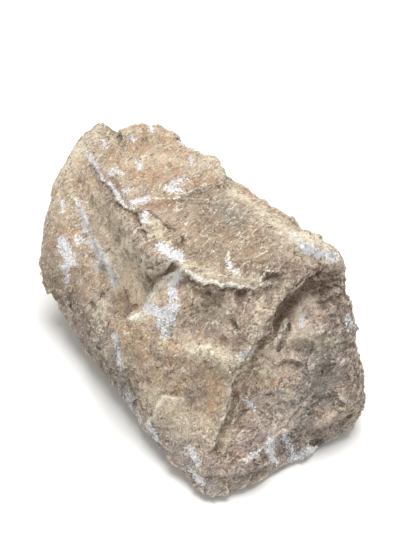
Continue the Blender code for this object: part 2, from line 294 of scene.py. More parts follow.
def strayOf(view):
    return np.array([sum(noise.noise((x / stray["size"], y / stray["size"], stray["seed"])) * stray["amount"]
                         for stray in carving["strays"]) for x, y in view])


# How far the broken edges, hollows and swells move each point in or out
def carvedHeights(mesh, tree):
    points = coordinates(mesh)
    view, depth = toView(points)
    stray = strayOf(view)
    facing = ease(1 - carving["facing"] * (normals(mesh) @ np.array(viewAhead)))
    heights = np.zeros(len(points))
    for ledge in ledges.values():
        away, along, sameSide = besidePath(view, depth, tree, ledge["path"])
        away = away + stray
        ends = ease(along / carving["endShare"]) * ease((1 - along) / carving["endShare"])
        fallen = (ease(away / ledge["fall"] + 0.5)
                  * ease((ledge["reach"] - away) / (carving["fadeShare"] * ledge["reach"])))
        proud = (np.exp(-(np.minimum(away, 0) / carving["lipWidth"]) ** 2) * (1 - fallen)
                 * ease((carving["lipReach"] + away) / carving["lipReach"]) * (away < carving["lipOverhang"]))
        heights += (ledge["lip"] * proud - ledge["drop"] * fallen) * ends * sameSide
    for mound in (*hollows.values(), *swells.values()):
        away, _, sameSide = besidePath(view, depth, tree, mound["path"])
        outermost = (np.abs(away) + carving["moundStray"] * stray) / mound["radius"]
        bowl = np.maximum(1 - outermost ** 2, 0) ** carving["moundPower"]
        heights += (mound["height"] if "height" in mound else -mound["depth"]) * bowl * sameSide * facing
    return heights


# The break runs smooth along the beds and hackly across them
alongBeds = Vector((0.10, 0.91, 0.40)).normalized()
acrossBeds = Vector((0.0, -0.37, 0.93)).normalized()

# Sizes in millimetres.  Smooth is the share that shows where the break runs along the beds, and hackly the
# share that is lost where it cuts across them.  Seeds and shifts only pick where things fall.
relief = {
    "chips": [
        {"size": 27, "lean": 0.40, "step": 1.8, "bowl": 0.09, "seed": 2.3, "smooth": 0.12},
        {"size": 13, "lean": 0.42, "step": 0.7, "bowl": 0.10, "seed": 6.1, "smooth": 0.20},
        {"size": 6, "lean": 0.42, "step": 0.25, "bowl": 0.10, "seed": 4.7, "smooth": 0.20},
    ],
    "everyChip": {"stretch": 1.7, "warpScale": 1.7, "warp": 0.3, "leanSeed": 7.3, "stepSeed": 5.1,
                  "shift": Vector((1, 2, 3))},
    "terrace": {"length": 34, "stretch": 2.2, "count": 7, "step": 1.1, "edge": 0.12, "wander": 0.25,
                "wanderScale": 3.7, "hackly": 0.4, "shift": Vector((4, 7, 1))},
    "fibre": {"length": 16, "width": 3.6, "height": 0.24, "middle": 0.6, "hackly": 0.7,
              "shift": Vector((9, 2, 5))},
    "rough": {"length": 7, "height": 0.16, "falloff": 0.7, "finer": 2.2, "octaves": 3},
    "pit": {"spacing": 19, "size": 0.10, "depth": 1.2, "rarity": 0.25, "seed": 9.1,
            "shift": Vector((3, 8, 2))},
    "hacklyFrom": 0.6,
}


# 0 where the break runs along the beds, 1 where it cuts across them
def hacklyShare(mesh):
    return ease((1 - np.abs(normals(mesh) @ np.array(acrossBeds))) / relief["hacklyFrom"])


# A place drawn out along the beds, so that patterns in it come out longer that way
def drawnOut(point, stretch):
    return point - alongBeds * point.dot(alongBeds) * (1 - 1 / stretch)


def chipHeight(point, chip):
    every = relief["everyChip"]
    place = drawnOut(point, every["stretch"]) / chip["size"] + every["shift"] * chip["seed"]
    place += noise.noise_vector(place * every["warpScale"]) * every["warp"]
    lowest = inf
    for centre in noise.voronoi(place)[1]:
        away = place - centre
        lean = noise.noise_vector(centre * every["leanSeed"]) * chip["lean"]
        rise = (lean.dot(away) + chip["bowl"] * away.length_squared) * chip["size"]
        lowest = min(lowest, rise + noise.noise(centre * every["stepSeed"]) * chip["step"])
    return lowest


def terraceHeight(point):
    terrace = relief["terrace"]
    place = drawnOut(point, terrace["stretch"]) / terrace["length"]
    wander = terrace["wander"] * noise.noise(place * terrace["wanderScale"])
    level = (noise.noise(place + terrace["shift"]) + wander) * terrace["count"]
    floor = level // 1
    rise = min(max((level - floor - 0.5) / terrace["edge"] + 0.5, 0), 1)
    return (floor + rise * rise * (3 - 2 * rise) - level) * terrace["step"]


def fibreHeight(point):
    fibre = relief["fibre"]
    run = point.dot(alongBeds)
    place = (point - alongBeds * run) / fibre["width"] + alongBeds * (run / fibre["length"])
    return (fibre["middle"] - abs(noise.noise(place + fibre["shift"])) * 2) * fibre["height"]


def roughHeight(point):
    rough = relief["rough"]
    place = point / rough["length"]
    return noise.fractal(place, rough["falloff"], rough["finer"], rough["octaves"]) * rough["height"]


def pitHeight(point):
    pit = relief["pit"]
    distances, centres = noise.voronoi(point / pit["spacing"] + pit["shift"])
    if noise.noise(centres[0] * pit["seed"]) < pit["rarity"]:
        return 0
    return -pit["depth"] * max(1 - (distances[0] / pit["size"]) ** 2, 0)


# How far the fine break of the calcite stands out or in
def brokenHeights(mesh):
    points = [Vector(point) for point in coordinates(mesh) / mm]
    hackly = hacklyShare(mesh)
    terraces = np.array([terraceHeight(point) for point in points])
    fibres = np.array([fibreHeight(point) for point in points])
    heights = terraces * (1 - relief["terrace"]["hackly"] * hackly)
    heights += fibres * (1 - relief["fibre"]["hackly"] * hackly)
    for chip in relief["chips"]:
        chips = np.array([chipHeight(point, chip) for point in points])
        heights += (chips - chips.mean()) * (chip["smooth"] + (1 - chip["smooth"]) * hackly)
    heights += np.array([roughHeight(point) + pitHeight(point) for point in points])
    return heights


# Brings the worked stone back inside the size of the plain one, with a flat base
def fitInside(mesh, box):
    points = coordinates(mesh)
    low, high = points.min(0), points.max(0)
    boxLow, boxHigh = np.array(box[0]), np.array(box[1])
    scale = np.minimum((boxHigh - boxLow) / (high - low), 1.0)
    middle = (boxLow + boxHigh) / 2
    fitted = (points - (low + high) / 2) * scale + middle
    fitted[:, 2] += boxLow[2] - fitted[:, 2].min()
    mesh.vertices.foreach_set("co", fitted.ravel())
    mesh.update()


# Removes the specks that remeshing can leave loose beside the stone
def dropSpecks(mesh):
    bm = bmesh.new()
    bm.from_mesh(mesh)
    waiting = set(bm.verts)
    bodies = []
    while waiting:
        body = [waiting.pop()]
        for vert in body:
            for edge in vert.link_edges:
                other = edge.other_vert(vert)
                if other in waiting:
                    waiting.remove(other)
                    body.append(other)
        bodies.append(body)
    bodies.sort(key=len)
    bmesh.ops.delete(bm, geom=[vert for body in bodies[:-1] for vert in body], context="VERTS")
    bm.to_mesh(mesh)
    bm.free()


def buildStone():
    bm = bmesh.new()
    bm.from_mesh(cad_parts["calcite_stone"].data)
    bmesh.ops.remove_doubles(bm, verts=bm.verts, dist=stoneShape["weld"] * mm)
    mesh = bpy.data.meshes.new("calciteStone")
    bm.to_mesh(mesh)
    bm.free()
    piece = bpy.data.objects.new("calciteStone", mesh)
    bpy.context.scene.collection.objects.link(piece)
    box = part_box("calcite_stone")
    evenFaces(piece, stoneShape["coarseFace"])
    soften(piece.data, stoneShape["softenRounds"])
    tree = surfaceTree(piece.data)
    moveAlongNormals(piece.data, carvedHeights(piece.data, tree), box)
    print("ledges and hollows carved")
    evenFaces(piece, stoneShape["fineFace"])
    moveAlongNormals(piece.data, brokenHeights(piece.data), box)
    print("broken surface worked,", len(piece.data.vertices), "points")
    decimate = piece.modifiers.new("thinOut", "DECIMATE")
    decimate.ratio = stoneShape["triangles"] / (2 * len(piece.data.polygons))
    decimate.use_collapse_triangulate = True
    applyModifiers(piece)
    dropSpecks(piece.data)
    fitInside(piece.data, box)
    print("stone has", len(piece.data.polygons), "faces")
    return piece


# Markings across the view: a half width in view units, then the path that the marking follows
markings = {
    "bruised": {"edge": 3.5, "paths": {
        "farFlank": (5, [(62, 242), (66, 252), (70, 262), (66, 268)]),
        "farFlankTail": (2, [(67, 275), (68, 282)]),
        "farFlankTop": (1.5, [(62, 200), (62, 212)]),
        "streakTop": (2.5, [(78, 203), (83, 214), (86, 224), (88, 231)]),
        "streakWide": (3.5, [(85, 223), (86, 229)]),
        "flankDab": (2.5, [(76, 239), (82, 240)]),
        "streakMiddle": (3.8, [(92, 241), (97, 250), (103, 258)]),
        "streakLow": (3.4, [(106, 263), (110, 271), (116, 283)]),
        "streakSide": (2, [(98, 262), (97, 268)]),
        "scuffBand": (4, [(178, 277), (173, 284), (172, 291), (173, 299)]),
        "scuffWide": (5, [(150, 307), (157, 314), (166, 313), (174, 308)]),
        "scuffLow": (4, [(159, 321), (164, 328), (166, 334)]),
        "scuffRight": (5, [(171, 318), (170, 322)]),
        "bedPatch": (5, [(162, 247), (168, 251), (174, 255), (180, 257)]),
        "bedDab": (3, [(146, 213), (144, 221)]),
        "plateTip": (2.8, [(147, 198), (140, 201), (134, 204)]),
        "plateCorner": (2.5, [(90, 156), (94, 165), (98, 172), (102, 177)]),
        "plateLip": (1.5, [(108, 182), (113, 190), (118, 196), (124, 205)]),
        "plateCrescent": (2, [(110, 173), (117, 171), (123, 174)]),
        "fleckA": (2, [(126, 192), (128, 192)]),
        "fleckB": (2.2, [(137, 164), (140, 167)]),
        "fleckC": (1.8, [(191, 157), (193, 165)]),
        "fleckD": (2.4, [(132, 137), (135, 140)]),
        "fleckE": (3, [(168, 190), (179, 189)]),
        "fleckF": (1.5, [(172, 183), (186, 178)]),
        "fleckG": (2, [(149, 128), (152, 130)]),
        "fleckH": (2, [(181, 141), (185, 143)]),
        "fleckI": (2, [(103, 141), (107, 147)]),
        "browTop": (2.5, [(292, 236), (300, 242)]),
        "browLeft": (5.5, [(304, 247), (311, 251), (317, 254)]),
        "browRight": (5, [(324, 254), (334, 257)]),
        "bedStreak": (1.8, [(230, 262), (231, 269), (236, 274)]),
        "lowerStreakA": (2.0, [(115, 335), (117, 346), (119, 358), (122, 368)]),
        "lowerStreakB": (2.2, [(127, 395), (131, 402), (135, 410)]),
        "lowerStreakC": (2.2, [(137, 413), (141, 421)]),
        "lowerStreakD": (3, [(148, 425), (153, 433), (156, 440)]),
        "footLeft": (3.5, [(189, 449), (194, 456), (199, 461)]),
        "footFleck": (2.4, [(245, 460), (250, 456), (257, 453)]),
        "footTip": (3, [(190, 469), (197, 476), (201, 483)]),
        "footRight": (4, [(292, 458), (302, 455), (314, 450)]),
        "endLow": (4, [(272, 441), (270, 452), (276, 460)]),
        "endLowRight": (3, [(285, 436), (291, 449)]),
        "endMiddle": (2.2, [(246, 401), (253, 406)]),
        "rightEdge": (2.5, [(346, 318), (350, 326)]),
        "rightFace": (3, [(303, 318), (302, 326)]),
        "shelfDab": (2.5, [(240, 356), (248, 352)]),
    }},
    "freshEdge": {"edge": 1.6, "paths": {
        "frontLip": (1.9, [(186, 270), (193, 278), (205, 282), (213, 281), (218, 285), (224, 288),
                           (228, 284), (238, 287), (248, 287), (255, 289), (262, 284)]),
        "creamEdge": (2.2, [(132, 319), (141, 314), (148, 307), (150, 298), (153, 290), (159, 284),
                            (166, 278), (174, 273), (183, 269)]),
        "scuffEdge": (1.0, [(160, 310), (168, 307), (175, 303), (178, 292)]),
        "faceHook": (0.9, [(188, 285), (192, 289), (193, 296)]),
        "pocketEdge": (0.9, [(261, 284), (261, 276), (266, 271), (278, 271)]),
        "riserLip": (1.0, [(262, 330), (255, 346), (249, 361), (240, 365), (234, 374), (231, 386)]),
        "riserLipLow": (0.8, [(231, 398), (226, 416), (219, 430), (213, 446)]),
        "plateLip": (1.0, [(92, 160), (100, 176), (107, 182), (118, 197), (127, 207)]),
        "plateStep": (0.8, [(134, 208), (148, 200), (160, 198), (175, 199), (190, 191), (206, 184)]),
        "lowerFlake": (0.8, ledges["lowerFlake"]["path"]),
        "bedStreak": (1.2, [(229, 252), (230, 262), (232, 270), (237, 274)]),
        "streak": (0.9, [(75, 198), (82, 210), (87, 226), (92, 243)]),
        "fin": (1.7, swells["fin"]["path"]),
        "shelf": (0.8, [(186, 347), (194, 353), (200, 347), (209, 347), (217, 355)]),
    }},
    "cream": {"edge": 6, "paths": {
        "frontLip": (2.6, [(190, 274), (204, 278), (218, 282), (232, 283), (246, 284), (256, 284),
                           (262, 277)]),
        "frontLipAbove": (2.5, [(204, 272), (222, 276), (240, 278), (254, 280)]),
        "creamEdge": (3.5, [(134, 321), (143, 316), (151, 309), (155, 300), (158, 293), (164, 287),
                            (171, 281), (179, 276)]),
        "scuffEdge": (2, [(160, 310), (168, 307), (175, 303)]),
        "yellowBed": (4, [(153, 222), (157, 234), (168, 243)]),
        "riserLip": (3, [(262, 300), (255, 318), (251, 340), (252, 355), (244, 364), (236, 370)]),
        "riserLipLow": (2, [(231, 388), (228, 404), (221, 420)]),
        "flankTop": (6, [(74, 152), (84, 147), (90, 140)]),
        "streakBand": (5, [(94, 242), (102, 256), (109, 270), (117, 286)]),
        "shelf": (6, [(193, 350), (205, 350), (216, 354)]),
        "shelfLow": (4, [(205, 353), (220, 356), (234, 362)]),
        "slab": (5, [(268, 352), (272, 362)]),
        "topRight": (2, [(208, 158), (216, 166), (225, 178)]),
        "ridgeTop": (4, [(232, 192), (250, 202), (266, 214), (284, 229)]),
        "bedBand": (3, [(186, 264), (200, 267), (215, 271)]),
        "browTop": (5, [(298, 238), (314, 239), (326, 244)]),
        "endBand": (5, [(306, 338), (322, 344), (338, 342)]),
        "endStreak": (4, [(262, 372), (268, 366), (276, 374)]),
        "lowerFlake": (2, ledges["lowerFlake"]["path"]),
        "lowerLeft": (3.5, [(104, 305), (96, 316)]),
    }},
    "ochre": {"edge": 12, "paths": {
        "facet": (8, [(158, 290), (161, 300)]),
        "riserFoot": (12, [(124, 276), (130, 292), (136, 306)]),
        "frontLeft": (9, [(128, 328), (142, 338)]),
        "plateMiddle": (8, [(138, 150), (160, 158), (185, 152)]),
        "plateTop": (6, [(148, 128), (168, 136)]),
        "plateLow": (7, [(118, 158), (132, 172), (150, 178)]),
        "flank": (8, [(84, 195), (92, 205), (100, 216)]),
        "shelf": (8, [(200, 362), (215, 366), (228, 366)]),
        "slab": (8, [(292, 315), (296, 330)]),
        "slabFoot": (7, [(268, 358), (262, 366)]),
        "endRust": (6, [(250, 388), (248, 396)]),
        "bedMiddle": (9, [(232, 230), (248, 244), (262, 256)]),
        "bedRight": (6, [(246, 262), (252, 268)]),
    }},
    # Grey stain, partly painted shade in the pockets, on the end and down the right side that is turned from
    # the light
    "greyStainAndPaintedShade": {"edge": 14, "paths": {
        "endMiddle": (16, [(318, 358), (326, 372), (322, 388)]),
        "endLow": (9, [(284, 404), (298, 408)]),
        "endLeft": (7, [(266, 402), (268, 416)]),
        "rightStrip": (9, [(350, 310), (356, 368)]),
        "leftBand": (10, [(92, 300), (100, 330), (112, 360), (126, 396)]),
        "triangle": (8, [(152, 258), (164, 266)]),
        "frontMiddle": (8, [(196, 318), (208, 322)]),
        "lipPocket": (5, [(268, 277), (277, 277)]),
        "lowerPocket": (4, [(259, 301), (266, 303)]),
        "bedFar": (10, [(222, 212), (236, 218)]),
        "footDark": (7, [(296, 430), (288, 436)]),
    }},
    # Painted shade: dark lines in the cracks, pits and pockets, and under the ledges
    "paintedShadeLine": {"edge": 1.6, "paths": {
        "crack": (1.3, [(148, 210), (156, 217), (162, 222), (169, 227), (176, 231)]),
        "crackPit": (2.0, hollows["crackPit"]["path"]),
        "faceCrease": (0.9, [(191, 288), (194, 297), (193, 308)]),
        "finGap": (2.5, [(288, 325), (286, 333), (282, 341), (278, 350)]),
        "scuffHole": (1.2, [(161, 317), (163, 319)]),
        "pitA": (1.7, [(101, 297), (104, 294)]),
        "pitB": (1.9, [(92, 302), (96, 309)]),
        "footNotch": (3.0, hollows["footNotch"]["path"]),
        "facePocket": (1.6, [(232, 321), (236, 328)]),
        "lipPocket": (2.0, [(263, 279), (270, 276), (277, 275)]),
    }},
    # Brown stain, partly painted shade on the risers, under the brow, in the pockets and down the right side
    # that is turned from the light
    "brownStainAndPaintedShade": {"edge": 5, "paths": {
        "underLipRight": (5, [(238, 298), (234, 322)]),
        "riserTop": (8, [(296, 292), (284, 306)]),
        "riserMiddle": (2.5, [(280, 316), (270, 332), (262, 346)]),
        "riserLow": (5, [(252, 366), (244, 384), (238, 402), (230, 418)]),
        "brow": (11, [(306, 272), (322, 276), (336, 284)]),
        "browLow": (7, [(316, 296), (328, 308)]),
        "plateRiserTop": (5, [(121, 207), (130, 218), (138, 231)]),
        "plateRiser": (11, [(107, 184), (118, 198), (133, 217), (143, 236), (150, 248)]),
        "facePocket": (3, [(233, 323), (237, 328)]),
        "footNotch": (4, hollows["footNotch"]["path"]),
        "leftLow": (9, [(74, 294), (86, 312), (96, 330)]),
        "rightStrip": (12, [(347, 292), (352, 320), (355, 350), (357, 388)]),
        "lipPocket": (5, [(266, 276), (276, 275)]),
    }},
    # A broad grey wash, partly painted shade where the end, the right side and the foot turn away from the
    # light
    "greyWashAndPaintedShade": {"edge": 22, "paths": {
        "foot": (14, [(150, 432), (178, 462), (206, 486), (240, 478), (282, 460), (318, 440), (345, 425)]),
        "end": (24, [(334, 330), (328, 360), (318, 386), (290, 416), (262, 440)]),
        "right": (26, [(350, 290), (356, 340), (356, 384)]),
        "flankLow": (6, [(66, 300), (76, 314), (98, 350), (124, 394)]),
    }},
    "washPale": {"edge": 10, "paths": {
        "facetTop": (13, [(92, 204), (110, 224), (126, 250)]),
        "facetMid": (14, [(120, 246), (134, 272), (142, 292)]),
        "underLip": (8, [(206, 312), (228, 318)]),
        "frontLow": (12, [(160, 400), (180, 420), (200, 430)]),
        "frontMid": (8, [(180, 340), (196, 352)]),
        "browTop": (17, [(298, 240), (314, 244), (328, 250)]),
        "shelf": (12, [(196, 354), (214, 358), (234, 364)]),
        "flankTop": (8, [(72, 166), (82, 154), (94, 136)]),
        "plate": (5, [(128, 160), (150, 160), (172, 156)]),
    }},
    "washTan": {"edge": 12, "paths": {
        "face": (5, [(198, 298), (216, 301), (236, 305)]),
        "corner": (5, [(240, 308), (247, 330)]),
        "farFlank": (8, [(51, 230), (54, 262), (58, 292)]),
        "frontLow": (10, [(214, 330), (226, 340)]),
        "riserEnd": (5, [(290, 304), (274, 324)]),
    }},
    "washRose": {"edge": 9, "paths": {
        "slab": (13, [(304, 306), (300, 322), (287, 342), (273, 362)]),
        "endLow": (14, [(262, 408), (284, 420)]),
    }},
    "washBed": {"edge": 22, "paths": {
        "low": (26, [(190, 248), (216, 254), (242, 262)]),
        "right": (32, [(206, 214), (240, 236), (266, 250), (284, 262)]),
    }},
    "washPink": {"edge": 22, "paths": {
        "corner": (26, [(244, 300), (246, 330)]),
        "brow": (22, [(306, 276), (330, 288), (338, 308)]),
        "endLow": (10, [(256, 400), (250, 432), (236, 460)]),
    }},
    "rust": {"edge": 3, "paths": {
        "stainHole": (2.6, [(316, 271), (319, 273)]),
        "stainStreak": (1.0, [(319, 262), (318, 268)]),
        "stainLine": (0.9, [(312, 277), (309, 287)]),
        "facet": (1.5, [(126, 292), (128, 298)]),
        "plateDot": (1.2, [(143, 124), (145, 126)]),
    }},
}


def neighbourMeans(mesh, values, rounds):
    edges = np.empty(len(mesh.edges) * 2, dtype=np.int64)
    mesh.edges.foreach_get("vertices", edges)
    one, other = edges.reshape(-1, 2).T
    count = len(mesh.vertices)
    around = np.bincount(one, minlength=count) + np.bincount(other, minlength=count)
    for _ in range(rounds):
        values = np.stack([
            np.bincount(one, column[other], count) + np.bincount(other, column[one], count)
            for column in values.T], -1) / around[:, None]
    return values


def addAttribute(mesh, name, values):
    attribute = mesh.attributes.new(name, "FLOAT", "POINT")
    attribute.data.foreach_set("value", values.astype(np.float32))


# The painted shade line under a ledge, in view units, and how the proud and hollow places are measured: the
# rounds of evening out that they are compared with, and the height in millimetres that counts as one
reading = {
    "underEndShare": 0.1, "underBelow": 1.9, "underWidth": 2.4, "facing": 3,
    "fineRounds": 3, "fineHeight": 0.5, "broadRounds": 30, "broadHeight": 2.5, "hacklyRounds": 12,
}


# A thin line of painted shade where a ledge hangs over what lies below it
def paintedShadeUnderLedges(view, depth, tree, stray):
    darkest = np.zeros(len(view))
    for ledge in ledges.values():
        away, along, sameSide = besidePath(view, depth, tree, ledge["path"])
        ends = ease(along / reading["underEndShare"]) * ease((1 - along) / reading["underEndShare"])
        under = np.clip(1 - np.abs(away + stray - reading["underBelow"]) / reading["underWidth"], 0, 1)
        darkest = np.maximum(darkest, under * ledge["shade"] * ends * sameSide)
    return darkest


# Stores where each marking lies, 0.5 at its border, and where the surface is proud or hollow
def markStone(mesh):
    points = coordinates(mesh)
    facing = ease(0.5 - reading["facing"] * (normals(mesh) @ np.array(viewAhead)))
    view, depth = toView(points)
    stray = strayOf(view)
    tree = surfaceTree(mesh)
    for name, marking in markings.items():
        deepest = np.zeros(len(points))
        for radius, path in marking["paths"].values():
            away, _, sameSide = besidePath(view, depth, tree, path)
            inside = np.clip(0.5 + (radius - np.abs(away + stray)) / (2 * marking["edge"]), 0, 1)
            deepest = np.maximum(deepest, inside * sameSide * facing)
        # The painted shade under each ledge joins the marked lines
        if name == "paintedShadeLine":
            deepest = np.maximum(deepest, paintedShadeUnderLedges(view, depth, tree, stray) * facing)
        addAttribute(mesh, name, deepest)
    outward = normals(mesh)
    fine = neighbourMeans(mesh, points, reading["fineRounds"])
    broad = neighbourMeans(mesh, fine, reading["broadRounds"])
    addAttribute(mesh, "fineRelief", ((points - fine) * outward).sum(1) / (reading["fineHeight"] * mm))
    addAttribute(mesh, "broadRelief", ((points - broad) * outward).sum(1) / (reading["broadHeight"] * mm))
    hackly = neighbourMeans(mesh, hacklyShare(mesh)[:, None], reading["hacklyRounds"])
    addAttribute(mesh, "hackly", hackly[:, 0])


def srgb(code):
    channels = [int(code[start:start + 2], 16) / 255 for start in (1, 3, 5)]
    linear = [value / 12.92 if value <= 0.04045 else ((value + 0.055) / 1.055) ** 2.4 for value in channels]
    return (*linear, 1)


# Adds a node and gives its outputs.  Settings are its own properties or unlinked inputs, and links are the
# outputs that feed its inputs.
def addNode(tree, kind, settings=(), links=()):
    node = tree.nodes.new("ShaderNode" + kind)
    for name, value in dict(settings).items():
        if isinstance(name, str) and hasattr(node, name):
            setattr(node, name, value)
        else:
            node.inputs[name].default_value = value
    for name, source in dict(links).items():
        tree.links.new(source, node.inputs[name])
    return node.outputs


def newMaterial(name):
    material = bpy.data.materials.new(name)
    material.use_nodes = True
    return material, material.node_tree, material.node_tree.nodes["Principled BSDF"]


# Sizes in millimetres, angles in degrees.  A layer lies where its marking, made ragged by noise, is over a
# half.  A shift only picks where a pattern falls.
calcite = {
    "ground": "#bfa98f", "roughness": 0.86, "ior": 1.57, "sugarHeight": 0.9,
    "swirl": {"size": 48, "amount": 22, "detail": 2},
    "beds": {"turn": (23.7, 0, -6.3), "stretch": 2.8, "hacklyFrom": 0.2, "hacklyTo": 1.6},
    "lightStroke": {"size": 2.2, "detail": 3, "shift": 0},
    "darkStroke": {"size": 1.9, "detail": 3, "shift": 0.3},
    "grain": {"size": 1.5, "detail": 2, "shift": 0},
    "crumble": {"size": 17, "detail": 3, "shift": 0.6, "start": 0.42, "end": 0.58},
    "bumpShare": {"hackly": 1, "smooth": 0.35, "even": 0.5, "crumbled": 1.6},
    "speckleShare": {"hackly": 0.7, "smooth": 0.62, "even": 0.55, "crumbled": 1.15},
    "facets": [{"size": 4.6, "slope": 1.1}, {"size": 2.3, "slope": 2.3}],
    "clouds": [
        {"colour": "#d8c8ae", "size": 52, "start": 0.47, "end": 0.58, "strength": 0.75},
        {"colour": "#cba37e", "size": 36, "start": 0.51, "end": 0.60, "strength": 0.75},
        {"colour": "#c8a794", "size": 30, "start": 0.52, "end": 0.60, "strength": 0.65},
        {"colour": "#d2c69e", "size": 21, "start": 0.54, "end": 0.62, "strength": 0.60},
        {"colour": "#b09e93", "size": 26, "start": 0.54, "end": 0.64, "strength": 0.50},
        {"colour": "#d09f78", "size": 9, "start": 0.54, "end": 0.66, "strength": 0.36},
        {"colour": "#a39c92", "size": 7, "start": 0.55, "end": 0.66, "strength": 0.36},
    ],
    "cloudDetail": 3, "cloudRoughness": 0.5, "cloudShift": 0.7,
    # Stains, and layers that are partly painted shade
    "stainsAndPaintedShade": {
        "ochre": {"colour": "#cba478", "size": 9, "ragged": 1.6, "width": 0.35, "strength": 0.65},
        # Grey wash, partly painted shade
        "greyWashAndPaintedShade": {"colour": "#8a838a", "size": 12, "ragged": 2.0, "width": 0.50, "strength": 0.80},
        "washBed": {"colour": "#937f69", "size": 12, "ragged": 2.0, "width": 0.50, "strength": 0.80},
        "washPink": {"colour": "#9d8277", "size": 12, "ragged": 2.0, "width": 0.50, "strength": 0.76},
        "washRose": {"colour": "#f0dac8", "size": 9, "ragged": 1.4, "width": 0.40, "strength": 0.85},
        "washTan": {"colour": "#9b8570", "size": 8, "ragged": 1.2, "width": 0.40, "strength": 0.70},
        "washPale": {"colour": "#e2d1b8", "size": 10, "ragged": 1.6, "width": 0.40, "strength": 0.75},
        # Grey stain, partly painted shade
        "greyStainAndPaintedShade": {"colour": "#8a857a", "size": 8, "ragged": 2.0, "width": 0.35, "strength": 0.65},
        # Brown stain, partly painted shade
        "brownStainAndPaintedShade": {"colour": "#87705f", "size": 5, "ragged": 1.0, "width": 0.20, "strength": 0.60},
    },
    # Darker where the surface lies hollow
    "darkerInHollows": {"colour": "#7a6854", "start": -0.4, "end": -1.6, "strength": 0.34},
    "wornEdge": {"colour": "#ebe0cb", "start": 1.7, "end": 2.6, "strength": 0.42},
    "wornRag": {"size": 5, "detail": 4, "shift": 0.5, "amount": 2.2}, "broadShare": 0.4,
    "edges": {
        "cream": {"colour": "#e5d9be", "size": 5, "ragged": 2.4, "width": 0.30, "strength": 0.75},
        # Painted shade in the cracks, pits and pockets and under the ledges
        "paintedShadeLine": {"colour": "#6b5848", "size": 3, "ragged": 0.9, "width": 0.22, "strength": 0.75},
        "freshEdge": {"colour": "#fdf6e6", "size": 3.5, "ragged": 1.2, "width": 0.16, "strength": 0.95},
        "bruised": {"colour": "#ecedf0", "size": 3.0, "ragged": 3.0, "width": 0.13, "strength": 0.92},
        "rust": {"colour": "#7d4526", "size": 4, "ragged": 1.6, "width": 0.20, "strength": 0.90},
    },
    "smallSize": 5, "smallDetail": 4, "largeDetail": 2, "layerShift": 0.11,
    "lines": [
        {"colour": "#f3ead8", "size": 17, "width": 0.018, "patch": 14,
         "start": 0.53, "end": 0.58, "strength": 0.70},
        {"colour": "#f3ead8", "size": 9, "width": 0.028, "patch": 10,
         "start": 0.55, "end": 0.60, "strength": 0.70},
        {"colour": "#66523f", "size": 22, "width": 0.014, "patch": 8,
         "start": 0.57, "end": 0.60, "strength": 0.85},
        {"colour": "#66523f", "size": 8, "width": 0.030, "patch": 7,
         "start": 0.60, "end": 0.63, "strength": 0.70},
    ],
    "lineDetail": 1.4, "lineShift": 0.9, "lineCore": 0.4,
    "patchDetail": 2, "patchShift": 0.2, "patchHackly": 0.5,
    "paleStroke": {"colour": "#f0e6d3", "start": 0.56, "end": 0.68, "strength": 0.22},
    "shades": [
        {"pattern": "grain", "start": 0.34, "end": 0.66, "low": 0.76, "high": 1.24},
        {"pattern": "lightStroke", "start": 0.50, "end": 0.68, "low": 0.94, "high": 1.30},
        {"pattern": "darkStroke", "start": 0.46, "end": 0.34, "low": 1.0, "high": 0.80},
    ],
}
